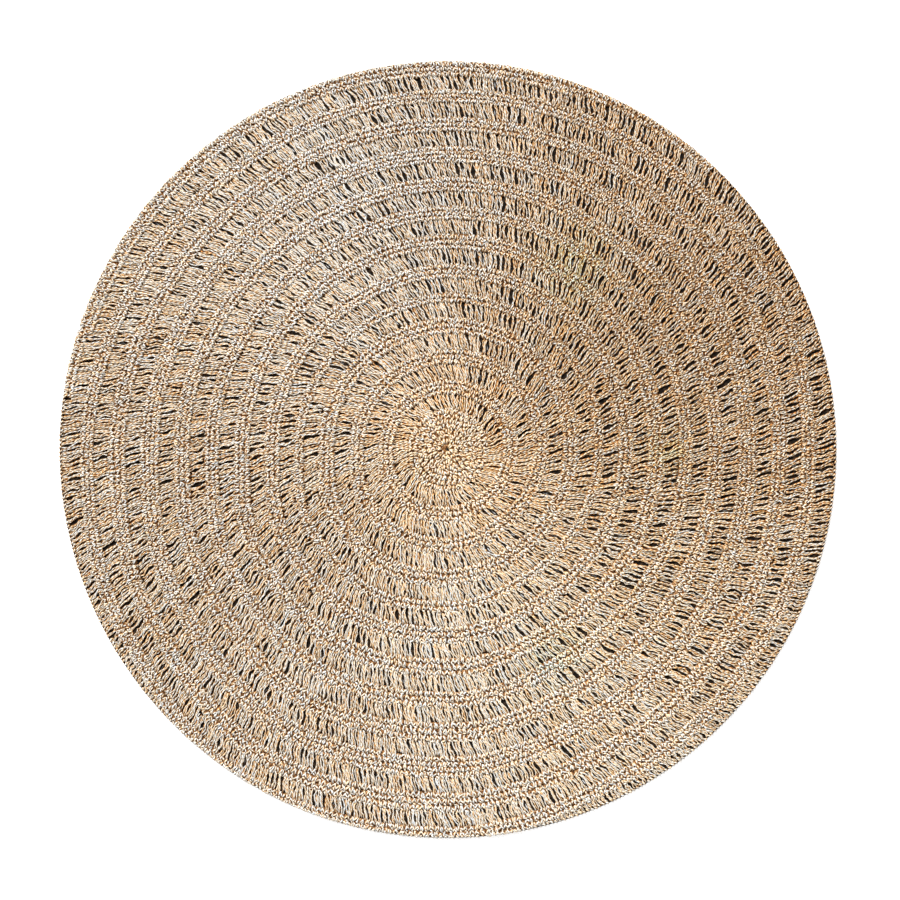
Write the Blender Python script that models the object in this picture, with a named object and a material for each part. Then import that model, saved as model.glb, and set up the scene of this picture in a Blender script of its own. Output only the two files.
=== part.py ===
"""A round crocheted seagrass rug, lying flat.

Metres, +Z up. The origin is at the middle of the underside.

The rug is one piece of fabric made in closed rounds from a twisted seagrass cord. Dense rounds,
two or three rows of short stitches, stand a little higher. Between them lie twelve open rounds
of tall posts, lower and thinner, whose widest gaps go right through. The maker's tension varied,
so the rounds are wider apart towards one side. The outline is still a circle, and there the
outermost open round runs out at the edge.
"""

import math
import random

import bmesh
import bpy
from mathutils import Vector

# Driving sizes
RADIUS = 1.0
CORD = 0.0052
DENSE_HEIGHT = 1.9 * CORD
OPEN_HEIGHT = 1.3 * CORD
OPEN_HALF_WIDTH = 0.019

# The open rounds, from the middle outwards. Columns: radius of the round's middle where the
# tension is even, how many gaps go right through, and points along each of its rings.
OPEN_ROUNDS = (
    (0.122, 0, 24),
    (0.199, 9, 24),
    (0.276, 13, 24),
    (0.356, 17, 24),
    (0.419, 20, 48),
    (0.496, 23, 48),
    (0.576, 27, 48),
    (0.651, 31, 48),
    (0.731, 35, 72),
    (0.817, 40, 72),
    (0.898, 45, 72),
    (0.972, 39, 72),
)

# How far out a round lies in each direction. Columns: direction in degrees, counter-clockwise
# from +X, the factor on a small round's radius, and the factor on a large round's.
TENSION = (
    (0, 1.003, 0.991),
    (30, 1.016, 1.000),
    (60, 1.016, 0.979),
    (90, 1.006, 0.971),
    (120, 0.990, 0.966),
    (150, 0.990, 0.971),
    (180, 0.985, 0.991),
    (210, 1.050, 1.020),
    (240, 1.067, 1.069),
    (270, 1.040, 1.058),
    (300, 0.998, 1.019),
    (330, 0.993, 1.010),
)
SMALL_ROUND = 0.35
LARGE_ROUND = 0.90

# A slow unevenness in each ring's radius. Columns: size, waves in a turn, and the shift of the
# waves from one ring to the next.
WANDER = (
    (0.0010, 5, 1.7),
    (0.0006, 3, -2.3),
)

# The middle: a small oval hole and the dense disc round it
CENTRE_HOLE_AT = (-0.0036, 0.0013)
CENTRE_HOLE_HALF = (0.0026, 0.0040)
CENTRE_HOLE_POINTS = 8
CENTRE_RINGS = (0.030, 0.062)
CENTRE_POINTS = 24

# The two crests of a dense round, as shares of its width
CRESTS = (0.27, 0.73)

# The gaps that are cut through, widest and most slanted towards +X
GAP_LENGTH = 0.025
SHORTEST_GAP = 0.85
GAP_WIDTH = 0.0058
EXTRA_GAP_WIDTH = 0.0022
LEAN = math.radians(14)
EXTRA_LEAN = math.radians(9)
GAP_SHIFT = 0.12
FULL_ENOUGH = 0.85

# The rounded edge of the fabric, and how close the rings are pressed where they run out there
SHOULDER_INSET = 0.0030
SHOULDER_HEIGHT = 0.8 * DENSE_HEIGHT
WIDEST_HEIGHT = 0.4 * DENSE_HEIGHT
FOOT_INSET = 0.0015
PRESSED_STEP = 0.0035

SHARP_ANGLE = math.radians(50)
SEED = 12


def blend_between(first, second, share):
    return first + (second - first) * share


def tension(angle, radius):
    """The factor on a round's radius in one direction, read smoothly from the table."""
    place = math.degrees(angle) % 360 / (360 / len(TENSION))
    row = int(place) % len(TENSION)
    after = (row + 1) % len(TENSION)
    turn = 0.5 - 0.5 * math.cos(math.pi * (place - int(place)))
    small = blend_between(TENSION[row][1], TENSION[after][1], turn)
    large = blend_between(TENSION[row][2], TENSION[after][2], turn)
    share = (radius - SMALL_ROUND) / (LARGE_ROUND - SMALL_ROUND)
    return blend_between(small, large, max(0.0, min(1.0, share)))


def wander(angle, ring):
    total = 0.0
    for size, waves, shift in WANDER:
        total += size * math.sin(waves * angle + shift * ring)
    return total


def ring_angles(points):
    return [2 * math.pi * k / points for k in range(points)]


class Ring:
    """One closed line of points on the upper face."""

    def __init__(self, radius, height, points):
        self.radius = radius
        self.height = height
        self.points = points
        self.verts = []


class OpenRound:
    """One open round: its two edges, as places in the list of rings, and its gaps."""

    def __init__(self, inner, gaps):
        self.inner = inner
        self.outer = inner + 1
        self.gaps = gaps


def plan():
    """Every ring of the upper face, from the middle outwards, and the open rounds."""
    rings = [Ring(radius, DENSE_HEIGHT, CENTRE_POINTS) for radius in CENTRE_RINGS]
    rounds = []
    last_edge = CENTRE_RINGS[-1]
    for radius, gaps, points in OPEN_ROUNDS:
        inner_edge = radius - OPEN_HALF_WIDTH
        outer_edge = radius + OPEN_HALF_WIDTH
        for share in CRESTS:
            rings.append(Ring(blend_between(last_edge, inner_edge, share), DENSE_HEIGHT, points))
        rounds.append(OpenRound(len(rings), gaps))
        rings.append(Ring(inner_edge, OPEN_HEIGHT, points))
        rings.append(Ring(outer_edge, OPEN_HEIGHT, points))
        last_edge = outer_edge
    border = 0.5 * (last_edge + RADIUS - SHOULDER_INSET)
    rings.append(Ring(border, DENSE_HEIGHT, OPEN_ROUNDS[-1][2]))
    return rings, rounds


def radius_at(rings, index, angle):
    """A ring's radius in one direction, kept inside the edge and clear of the rings outside."""
    radius = rings[index].radius
    free = radius * tension(angle, radius) + wander(angle, index)
    outside = len(rings) - index
    return min(free, RADIUS - SHOULDER_INSET - PRESSED_STEP * outside)


def openness(rings, open_round, angle):
    """How much of an open round's width is left at one direction, from 0 to 1."""
    inner = radius_at(rings, open_round.inner, angle)
    outer = radius_at(rings, open_round.outer, angle)
    return max(0.0, min(1.0, (outer - inner) / (2 * OPEN_HALF_WIDTH)))


def add_rings(bm, rings, rounds):
    round_of = {}
    for open_round in rounds:
        round_of[open_round.inner] = open_round
        round_of[open_round.outer] = open_round
    for index, ring in enumerate(rings):
        for angle in ring_angles(ring.points):
            radius = radius_at(rings, index, angle)
            height = ring.height
            if index in round_of:
                share = openness(rings, round_of[index], angle)
                height = blend_between(DENSE_HEIGHT, OPEN_HEIGHT, share)
            place = (radius * math.cos(angle), radius * math.sin(angle), height)
            ring.verts.append(bm.verts.new(place))


def zip_rings(bm, inner, outer, skip=()):
    """Faces between two rings, quads where their counts agree and triangles elsewhere."""
    if len(inner) == len(outer):
        for k in range(len(inner)):
            if k not in skip:
                after = (k + 1) % len(inner)
                bm.faces.new((inner[k], inner[after], outer[after], outer[k]))
        return
    i = 0
    o = 0
    while i < len(inner) or o < len(outer):
        here_inner = inner[i % len(inner)]
        here_outer = outer[o % len(outer)]
        inner_is_behind = (i + 1) / len(inner) < (o + 1) / len(outer)
        if o == len(outer) or (i < len(inner) and inner_is_behind):
            i += 1
            bm.faces.new((here_inner, inner[i % len(inner)], here_outer))
        else:
            o += 1
            bm.faces.new((here_inner, outer[o % len(outer)], here_outer))


def gap_corners(middle_radius, angle, rng):
    """The four corners of one slanted gap, inner pair first, counter-clockwise."""
    facing = max(0.0, math.cos(angle))
    width = GAP_WIDTH + EXTRA_GAP_WIDTH * facing
    lean = LEAN + EXTRA_LEAN * facing
    length = GAP_LENGTH * rng.uniform(SHORTEST_GAP, 1.0)
    out = Vector((math.cos(angle), math.sin(angle), 0))
    along = Vector((-math.sin(angle), math.cos(angle), 0))
    slant = out * math.cos(lean) + along * math.sin(lean)
    middle = out * middle_radius
    half = slant * (length / 2)
    side = along * (width / 2)
    return (middle - half - side, middle - half + side, middle + half + side, middle + half - side)


def cut_gaps(bm, rings, open_round, rng):
    """Cuts one open round's gaps. Returns the cells it used and the gaps' lower loops."""
    inner = rings[open_round.inner]
    outer = rings[open_round.outer]
    step = 2 * math.pi / inner.points
    cells = []
    for k in range(inner.points):
        if openness(rings, open_round, (k + 0.5) * step) >= FULL_ENOUGH:
            cells.append(k)
    used = set()
    loops = []
    start = rng.random()
    for gap in range(open_round.gaps):
        k = cells[int((gap + start) * len(cells) / open_round.gaps)]
        used.add(k)
        angle = (k + 0.5 + rng.uniform(-GAP_SHIFT, GAP_SHIFT)) * step
        after = (k + 1) % inner.points
        cell = (inner.verts[k], inner.verts[after], outer.verts[after], outer.verts[k])
        inner_radius = radius_at(rings, open_round.inner, angle)
        outer_radius = radius_at(rings, open_round.outer, angle)
        corners = gap_corners(0.5 * (inner_radius + outer_radius), angle, rng)
        top = [bm.verts.new((c.x, c.y, OPEN_HEIGHT)) for c in corners]
        low = [bm.verts.new((c.x, c.y, 0)) for c in corners]
        for a in range(len(corners)):
            b = (a + 1) % len(corners)
            bm.faces.new((cell[a], cell[b], top[b], top[a]))
            bm.faces.new((top[a], top[b], low[b], low[a]))
        loops.append(low)
    return used, loops


def loop_edges(bm, verts):
    edges = []
    for k, vert in enumerate(verts):
        after = verts[(k + 1) % len(verts)]
        edges.append(bm.edges.get((vert, after)))
    return edges


def oval(bm, height):
    """The middle hole's edge at one height."""
    verts = []
    for angle in ring_angles(CENTRE_HOLE_POINTS):
        x = CENTRE_HOLE_AT[0] + CENTRE_HOLE_HALF[0] * math.cos(angle)
        y = CENTRE_HOLE_AT[1] + CENTRE_HOLE_HALF[1] * math.sin(angle)
        verts.append(bm.verts.new((x, y, height)))
    return verts


def circle(bm, radius, height, points):
    verts = []
    for angle in ring_angles(points):
        verts.append(bm.verts.new((radius * math.cos(angle), radius * math.sin(angle), height)))
    return verts


def build_rug():
    rng = random.Random(SEED)
    bm = bmesh.new()
    rings, rounds = plan()
    add_rings(bm, rings, rounds)

    hole_top = oval(bm, DENSE_HEIGHT)
    hole_low = oval(bm, 0)
    zip_rings(bm, hole_low, hole_top)
    zip_rings(bm, hole_top, rings[0].verts)

    loops = [hole_low]
    cut_cells = {}
    for open_round in rounds:
        cut_cells[open_round.inner], lower_loops = cut_gaps(bm, rings, open_round, rng)
        loops += lower_loops
    for index in range(len(rings) - 1):
        skip = cut_cells.get(index, ())
        zip_rings(bm, rings[index].verts, rings[index + 1].verts, skip)

    points = rings[-1].points
    shoulder = circle(bm, RADIUS - SHOULDER_INSET, SHOULDER_HEIGHT, points)
    widest = circle(bm, RADIUS, WIDEST_HEIGHT, points)
    foot = circle(bm, RADIUS - FOOT_INSET, 0, points)
    zip_rings(bm, rings[-1].verts, shoulder)
    zip_rings(bm, shoulder, widest)
    zip_rings(bm, widest, foot)
    loops.append(foot)

    edges = []
    for loop in loops:
        edges += loop_edges(bm, loop)
    bmesh.ops.triangle_fill(bm, use_beauty=True, edges=edges, normal=(0, 0, -1))
    bmesh.ops.recalc_face_normals(bm, faces=bm.faces)

    mesh = bpy.data.meshes.new("rug")
    bm.to_mesh(mesh)
    bm.free()
    mesh.shade_smooth()
    mesh.set_sharp_from_angle(angle=SHARP_ANGLE)
    return mesh


def seagrass():
    material = bpy.data.materials.new("seagrass")
    material.use_nodes = True
    shader = material.node_tree.nodes["Principled BSDF"]
    shader.inputs["Base Color"].default_value = (0.46, 0.36, 0.23, 1)
    shader.inputs["Roughness"].default_value = 0.8
    shader.inputs["Metallic"].default_value = 0
    return material


def main():
    for existing in list(bpy.data.objects):
        bpy.data.objects.remove(existing, do_unlink=True)
    mesh = build_rug()
    mesh.materials.append(seagrass())
    rug = bpy.data.objects.new("rug", mesh)
    bpy.context.collection.objects.link(rug)


main()
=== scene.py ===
"""The looks of a round crocheted seagrass rug, seen from straight above on a pale floor.

Every strand of the crochet that shows is a mesh of its own form. The tall posts of the open
rounds, the short legs and loops of the dense rounds and the chain along the edge are built many
at a time and joined into a few pieces. Under them lie the core cords of the dense rows, rust and
tan darkened as painted shade, and one thin sheet for the backs of the stitches, near black as
painted shade, with the gaps of the solid cut through it.
"""

import math

import bmesh
import bpy
import numpy as np
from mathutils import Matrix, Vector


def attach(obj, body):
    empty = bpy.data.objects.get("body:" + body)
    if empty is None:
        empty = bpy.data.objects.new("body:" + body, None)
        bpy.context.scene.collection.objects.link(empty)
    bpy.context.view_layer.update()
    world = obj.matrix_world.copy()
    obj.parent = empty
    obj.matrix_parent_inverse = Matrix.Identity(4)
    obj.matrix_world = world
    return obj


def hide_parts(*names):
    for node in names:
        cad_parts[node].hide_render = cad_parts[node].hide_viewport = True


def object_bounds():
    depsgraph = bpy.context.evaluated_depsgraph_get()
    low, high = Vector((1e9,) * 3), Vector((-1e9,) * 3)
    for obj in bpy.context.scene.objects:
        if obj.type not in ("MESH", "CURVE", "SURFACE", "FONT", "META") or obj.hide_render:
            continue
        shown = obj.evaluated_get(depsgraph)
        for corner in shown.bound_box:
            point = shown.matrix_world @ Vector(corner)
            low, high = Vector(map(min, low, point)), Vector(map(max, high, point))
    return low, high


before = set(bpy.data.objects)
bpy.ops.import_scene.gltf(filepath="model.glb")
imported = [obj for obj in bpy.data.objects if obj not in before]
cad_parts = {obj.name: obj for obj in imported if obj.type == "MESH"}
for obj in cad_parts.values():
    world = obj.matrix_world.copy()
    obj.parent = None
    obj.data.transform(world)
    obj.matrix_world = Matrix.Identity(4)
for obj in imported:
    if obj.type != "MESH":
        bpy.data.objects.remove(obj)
CAD_LOW, CAD_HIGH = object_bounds()

# Driving sizes, in metres. The outline comes from the frame.
RADIUS = (CAD_HIGH.x - CAD_LOW.x) / 2
CORD = 0.0052
STITCH = 0.0125
ROW = 0.0130
OPEN_HALF_WIDTH = 0.019
TOP = CAD_HIGH.z + 0.0002

# The open rounds' radii where the tension is even, as the solid has them
OPEN_ROUNDS = (
    0.122, 0.199, 0.276, 0.356, 0.419, 0.496, 0.576, 0.651, 0.731, 0.817, 0.898, 0.972,
)

# How the rug changes round about. Columns: direction in degrees, counter-clockwise from +X, the
# factor on a small round's radius, the factor on a large round's, the usual gap between two
# posts as a share of OPEN_ROOM, and how much lighter the strands are.
BY_DIRECTION = (
    (0, 1.003, 0.991, 2.00, -0.32),
    (30, 1.016, 1.000, 2.15, -0.44),
    (60, 1.016, 0.979, 1.55, -0.30),
    (90, 1.006, 0.971, 0.76, -0.02),
    (120, 0.990, 0.966, 0.52, 0.22),
    (150, 0.990, 0.971, 0.62, 0.19),
    (180, 0.985, 0.991, 1.05, 0.07),
    (210, 1.050, 1.020, 1.18, 0.10),
    (240, 1.067, 1.069, 0.94, 0.25),
    (270, 1.040, 1.058, 0.56, 0.52),
    (300, 0.998, 1.019, 0.70, 0.36),
    (330, 0.993, 1.010, 1.15, 0.02),
)
SMALL_FACTOR, LARGE_FACTOR, USUAL_GAP, LIGHTER = 1, 2, 3, 4
SMALL_ROUND = 0.35
LARGE_ROUND = 0.90

# Which open rounds are joined into one piece, from the first up to the last
ROUNDS_IN_A_PIECE = ((0, 6), (6, 9), (9, 12))

# How far a round wanders from its place, and the slow changes round the rug, each with its waves
# in a turn and their shift per metre of radius
WANDER_SIZE = 0.0016
ROUND_WANDER = ((5, 9, 14, 31), 37)
LOOSENESS = ((7, 13, 23, 41), 23)
LEAN_CHANGE = ((7, 17, 29), 61)
WAVE_PHASE = ((9, 15, 26, 43, 77), 47)
FIRST_PHASE = 1.3
PHASE_STEP = 2.1

OPEN_ROOM = 0.0038

# The innermost round is only this share as open, and the share grows to 1 over this distance
INNER_OPENNESS = 0.22
INNER_REACH = 0.30

# How much the gaps differ: by place, from one to the next, and the narrowest and the widest
LOOSENESS_CHANGE = 0.5
LOOSENESS_LIMITS = (0.3, 2)
GAP_EVENNESS = 2.6
GAP_LIMITS = (0.0002, 0.0070)

# The share of a through gap without strands
GAP_SHARE = 0.85

# Where the last open round is closer to the edge than this, no row fits outside it: its posts
# reach the edge and stand further apart.
EDGE_ROOM = 0.021
EDGE_OPENNESS = 1.4

# How unevenly the stitches share a round's length, in open rounds and in rows
POST_UNEVENNESS = 0.32
ROW_UNEVENNESS = 0.16

# The usual warmth, and how much the strands differ in thickness, tone and warmth
WARMTH = 0.50
THICKNESS_SPREAD = (0.84, 1.16)
TONE_SPREAD = 0.24
WARMTH_SPREAD = 0.26

# A post's centre line. Columns: share of the way from its foot to its top, and height.
POST_LINE = (
    (0.00, 0.0046),
    (0.08, 0.0058),
    (0.24, 0.0050),
    (0.42, 0.0044),
    (0.60, 0.0042),
    (0.78, 0.0042),
    (0.92, 0.0050),
    (1.00, 0.0044),
)

# A post's lean and how that changes round the rug, the thickness of its strands, how far it is
# shifted along the round, their tone, the shade at their ends, and the least room for the two
POST_LEAN = math.radians(14.0)
POST_LEAN_CHANGE = math.radians(5)
POST_STRAND = 0.0051
POST_SHIFT = 0.0009
POST_TONE = 0.50
POST_END_SHADE = 0.25
LEAST_ROOM = 0.5 * POST_STRAND

# How far a post reaches over the rows on both sides, how uneven its ends are in that direction
# and across it, how far out a post may end, and the length below which one is left out
POST_OVERLAP = 0.0062
POST_END_SPREAD = 0.0028
POST_FOOT_SPREAD = 0.0015
POST_EDGE = RADIUS - 0.9 * CORD
SHORTEST_POST = 0.008

# How a post's strands wind: how steep they are in the middle, their waves and kinks, and how
# much their height and thickness change
POST_CURVE = (0.2, 1.9)
POST_WAVE = 0.0023
POST_WAVE_SHARE = (0.4, 1.3)
POST_WAVES = (1.1, 1.7)
POST_PHASE_CHANGE = 0.9
POST_PHASE_SPREAD = 0.08
POST_KINK = 0.0010
POST_LIFT = 0.0005
POST_BULGE = 0.10

# Posts whose two strands cross, and how far the one lies above the other
CROSSING_SHARE = 0.20
CROSSING_LIFT = 0.0009

# The strands behind the posts: every stitch's back, and the fillers that cross some of the gaps.
# Columns: thickness, sideways spread, tone, and warmth.
BACK_STRAND = (1.2 * POST_STRAND, 0.0005, 0.24, 0.66)
FILLER_STRAND = (0.9 * POST_STRAND, 0.0008, 0.40, 0.30)
MOST_FILLERS = 0.80
FEWER_FILLERS = 0.55
LOWER_TILT = 0.0040
LOWER_TILT_SHARE = (-1.4, 0.9)
LOWER_CURVE = 0.9
LOWER_TONE_SPREAD = 0.13
LOWER_WARMTH_SPREAD = 0.14
LOWER_SHADE = 0.62
LOWER_LINE = (
    (0.00, 0.0028),
    (0.12, 0.0030),
    (0.50, 0.0031),
    (0.88, 0.0030),
    (1.00, 0.0028),
)

# A leg of a short stitch, from its foot to its top, and the loop over the two legs. Columns:
# share of the way, and height.
LEG_LINE = (
    (0.00, 0.0044),
    (0.16, 0.0058),
    (0.50, 0.0064),
    (0.84, 0.0056),
    (1.00, 0.0042),
)
LOOP_LINE = (
    (0.00, 0.0044),
    (0.26, 0.0058),
    (0.74, 0.0058),
    (1.00, 0.0044),
)

# The two legs and the top loop of a short stitch. Columns: length, lean from the radius with the
# outer end counter-clockwise, spread of the lean, the middle's place along the row and across it
# as shares of a stitch, extra height, and tone.
SHORT_STITCH = (
    (0.0140, -21, 15, -0.25, -0.08, 0.0003, 0.86),
    (0.0134, 29, 15, 0.21, -0.05, 0.0, 0.81),
)
LOOP = (0.0114, 42, 26, 0.04, 0.40, 0.0001, 0.78)

# These strands' thickness and end shade, and how their length, bow, height and place differ
SHORT_STRAND = 0.0064
SHORT_END_SHADE = 0.14
SHORT_LENGTH = (0.84, 1.14)
SHORT_BOW = (-0.0015, 0.0015)
SHORT_LIFT = 0.0004
ALONG_SPREAD = 0.06
ACROSS_SPREAD = 0.07
ROW_SPREAD = 0.0006

# A stitch and a core get larger with the width of their row, within these shares of a usual one
STITCH_STRETCH = (0.85, 1.4)
CORE_STRETCH = (0.8, 1.7)

# Short stitches stay inside the edge and clear of the centre hole, and bend less close to it
STITCH_EDGE = RADIUS - 0.75 * CORD
PAST_EDGE = 0.003
INNERMOST = 0.001
TURN_LIMIT = 0.008
HOLE_CLEARANCE = 1.3

# The core of a dense row: one cord all the way round. Where a row ends, its core lies sunk.
CORE_HEIGHT = 0.0034
CORE_HALF_WIDTH = 0.0092
CORE_HALF_HEIGHT = 0.0030
CORE_STEP = 0.020
CORE_EDGE = 0.0060
CORE_EDGE_SHARE = 0.7
FEWEST_CORE_POINTS = 12
CORE_SPREAD = 0.0009
CORE_HEIGHT_SPREAD = 0.0002
SUNK_CORE = -0.0010

# The rows along the edge. A row may overlap the last open round by this share of its width.
BORDER_ROWS = 3
BORDER_START = RADIUS - 0.6 * CORD
BORDER_ROOM = 0.35

# The centre. The hole's middle, half width and half height, then the first row's inner radius.
HOLE_MIDDLE = (-0.0036, 0.0013)
HOLE_SIZE = (0.0026, 0.0040)
CENTRE_HOLE = 0.0046
CENTRE_CORD = 0.0056
CENTRE_TONE = 0.08

# The chain along the edge: its radius and pitch, how far a strand runs along the edge and inwards,
# the shares of its points on the way, and its height, with a small rise and fall.
CHAIN_RADIUS = RADIUS - 0.36 * CORD
CHAIN_PITCH = 0.0108
CHAIN_LENGTH = 0.0078
CHAIN_DEPTH = 0.0085
CHAIN_LINE = (0.0, 0.14, 0.5, 0.86, 1.0)
CHAIN_HEIGHT = 0.0056
CHAIN_RISE = 0.0010
CHAIN_FALL = 0.0014
CHAIN_LIFT = 0.0003
CHAIN_LEAN = 1.3
CHAIN_CLEARANCE = 0.0002
CHAIN_UNEVENNESS = 0.12
CHAIN_LENGTH_SHARE = (0.9, 1.1)
CHAIN_DEPTH_SHARE = (0.7, 1.2)
CHAIN_THICKNESS = (0.9, 1.05)
CHAIN_TONE = 0.66
CHAIN_TONE_SPREAD = 0.20
CHAIN_WARMTH_SPREAD = 0.22
CHAIN_END_SHADE = 0.5

# The sheet under the strands. A hole's half sizes in it are shares of the gap in the solid.
SHEET_THICKNESS = 0.0022
SHEET_INSET = 0.0026
SHEET_POINTS = 256
HOLE_POINTS = 10
HOLE_LENGTH_SHARE = 0.36
HOLE_WIDTH_SHARE = 0.22

# Soft patches of another colour. Columns: x, y, radius, tone, warmth, green.
PATCHES = (
    (0.00, 0.00, 0.22, 0.28, 0.44, 0.00),
    (0.45, -0.45, 0.55, 0.00, 0.08, 0.10),
    (0.00, 0.00, 0.03, 0.00, 0.60, 0.20),
    (-0.20, 0.70, 0.34, 0.08, -0.32, 0.00),
    (0.33, 0.47, 0.09, 0.00, -0.05, 0.55),
    (0.56, 0.00, 0.05, 0.00, 0.05, 0.45),
    (0.28, -0.53, 0.07, 0.04, -0.05, 0.45),
    (0.25, -0.57, 0.04, 0.08, -0.40, 0.00),
)

# The tone by direction counts in full from this radius on. No tone is above the highest one, and
# the green of a patch differs from strand to strand, up to this share.
FULL_TONE_RADIUS = 0.4
HIGHEST_TONE = 1.4
GREEN_SPREAD = 1.6

# A tube's ridge turns a little from strand to strand, a three-sided tube reaches further out, to
# look as thick as a round one, and a tube narrows towards its tips
RIDGE_SPREAD = 0.18
THREE_SIDED_REACH = 1.13
NO_LENGTH = 1e-12
TIP_WIDTH = 0.90

# The solid's gaps: what counts as one point, as upright and as the lower edge
SAME_POINT = 1e-5
UPRIGHT = 0.01
LOW_BAND = 0.0005

# The camera: straight above, with the rug a little off the middle, as in the photograph
VIEW_WIDTH = 2.3124 * RADIUS
CAMERA_HEIGHT = 7.0
CAMERA_OFFSET = (0.0054, -0.0013)

# The light comes from the upper left
SUN_DIRECTION = math.radians(122)
SUN_ELEVATION = math.radians(38)
SUN_ANGLE = math.radians(10)
SUN_STRENGTH = 4.52
SKY_STRENGTH = 0.24
# Outside the rug the floor glows, painted light that washes out the rug's shadow there
FLOOR_GLOW = 0.80
GLOW_STARTS = (RADIUS - 0.012, RADIUS - 0.002)
FLOOR_GRAIN = 60.0
FLOOR_RAMP = (
    (0.0, (0.89, 0.89, 0.89)),
    (1.0, (0.93, 0.93, 0.93)),
)
FLOOR_ROUGHNESS = (0.75, 0.9)
FLOOR_HALF_SIZE = 40
FLOOR_HEIGHT = -0.0004

SEED = 41
rng = np.random.default_rng(SEED)


def read_by_direction(angle, column):
    """The value of a column in each direction, read smoothly between the rows."""
    rows = np.array(BY_DIRECTION)[:, column]
    place = np.degrees(angle) % 360 / (360 / len(rows))
    row = place.astype(int) % len(rows)
    after = (row + 1) % len(rows)
    turn = 0.5 - 0.5 * np.cos(np.pi * (place % 1))
    return rows[row] + (rows[after] - rows[row]) * turn


def tension(angle, radius):
    """The factor on a round's radius in one direction."""
    small = read_by_direction(angle, SMALL_FACTOR)
    large = read_by_direction(angle, LARGE_FACTOR)
    share = np.clip((radius - SMALL_ROUND) / (LARGE_ROUND - SMALL_ROUND), 0, 1)
    return small + (large - small) * share


def slow_noise(angle, radius, change):
    """A smooth unevenness round the rug, between about -1 and 1, another one in each round."""
    waves, shift_per_metre = change
    shift = shift_per_metre * radius
    total = 0
    for k, wave in enumerate(waves):
        total = total + np.sin(wave * angle + shift * (k + FIRST_PHASE) + PHASE_STEP * k)
    return total / len(waves)


def round_radius(angle, radius):
    """Where a round runs, with a small wander of its own."""
    return radius * tension(angle, radius) + WANDER_SIZE * slow_noise(angle, radius, ROUND_WANDER)


def normal(size, *shape):
    """Seeded noise of this spread."""
    return size * rng.normal(0, 1, shape)


class Gap:
    """One gap of the solid that goes right through, from the four corners of its lower edge."""

    def __init__(self, corners):
        middle = sum(corners, corners[0] * 0) / len(corners)
        corners = sorted(corners, key=lambda c: math.atan2(c.y - middle.y, c.x - middle.x))
        first = corners[1] - corners[0]
        second = corners[2] - corners[1]
        long_side = first if first.length > second.length else second
        self.length = long_side.length
        self.width = min(first.length, second.length)
        self.angle = math.atan2(middle.y, middle.x)
        self.radius = middle.to_2d().length
        self.middle = middle
        self.slant = long_side.to_2d().normalized()
        if self.slant.dot(middle.to_2d()) < 0:
            self.slant.negate()


def gaps_of_solid():
    """The solid's gaps, each found by the four upright walls that it is cut with."""
    bm = bmesh.new()
    bm.from_mesh(bpy.data.objects["rug"].data)
    bmesh.ops.remove_doubles(bm, verts=bm.verts, dist=SAME_POINT)
    bm.normal_update()
    bm.faces.index_update()
    bm.verts.index_update()
    upright = {f.index: f for f in bm.faces if abs(f.normal.z) < UPRIGHT}
    gaps = []
    while upright:
        found = [upright.pop(next(iter(upright)))]
        for face in found:
            for edge in face.edges:
                for near in edge.link_faces:
                    if near.index in upright:
                        found.append(upright.pop(near.index))
        verts = [v for f in found for v in f.verts if v.co.z < CAD_LOW.z + LOW_BAND]
        low = {v.index: v.co.copy() for v in verts}
        if len(low) == 4:
            gaps.append(Gap(list(low.values())))
    bm.free()
    return gaps


class Strands:
    """Many strands, each a row of points with its own thickness, tone, warmth and shade."""

    def __init__(self):
        self.parts = []

    def add(self, paths, widths, tones, warmths, shades):
        """paths is strands x points x 3; widths and shades are strands x points."""
        self.parts.append((paths, widths, tones, warmths, shades))

    def gathered(self):
        """The paths, widths, tones, warmths and shades of all strands, each in one array."""
        return [np.concatenate(column) for column in zip(*self.parts)]


def patch_shift(x, y, column):
    """What the soft patches add at each place, from one of their columns."""
    total = np.zeros_like(x)
    for patch in PATCHES:
        distance = np.hypot(x - patch[0], y - patch[1]) / patch[2]
        total += patch[column] * np.exp(-(distance**2))
    return total


def strand_colours(paths, tones, warmths, shades):
    """What the material reads at each point: tone, warmth, shade and green."""
    x = paths[..., 0].mean(1)
    y = paths[..., 1].mean(1)
    colour = np.empty((*paths.shape[:2], 4))
    share = np.clip(np.hypot(x, y) / FULL_TONE_RADIUS, 0, 1)
    lighter = read_by_direction(np.arctan2(y, x), LIGHTER) * share
    colour[..., 0] = np.clip(tones + lighter + patch_shift(x, y, 3), 0, HIGHEST_TONE)[:, None]
    colour[..., 1] = np.clip(warmths + patch_shift(x, y, 4), 0, 1)[:, None]
    colour[..., 2] = shades
    green = patch_shift(x, y, 5) * rng.uniform(0, GREEN_SPREAD, len(x))
    colour[..., 3] = np.clip(green, 0, 1)[:, None]
    return colour


def mesh_piece(name, verts, faces, cord_map):
    """A smooth piece. Each array of faces has its own number of corners and its cord map."""
    mesh = bpy.data.meshes.new(name)
    mesh.vertices.add(len(verts))
    mesh.vertices.foreach_set("co", verts.ravel())
    corners = np.concatenate([some.ravel() for some in faces])
    mesh.loops.add(len(corners))
    mesh.loops.foreach_set("vertex_index", corners)
    sizes = np.concatenate([np.full(len(some), some.shape[1]) for some in faces])
    mesh.polygons.add(len(sizes))
    mesh.polygons.foreach_set("loop_start", np.concatenate([[0], np.cumsum(sizes)[:-1]]))
    mesh.polygons.foreach_set("loop_total", sizes)
    mesh.update(calc_edges=True)
    mesh.shade_smooth()
    layer = mesh.uv_layers.new(name="cord")
    layer.uv.foreach_set("vector", np.concatenate([some.ravel() for some in cord_map]))
    piece = bpy.data.objects.new(name, mesh)
    bpy.context.collection.objects.link(piece)
    return piece


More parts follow.
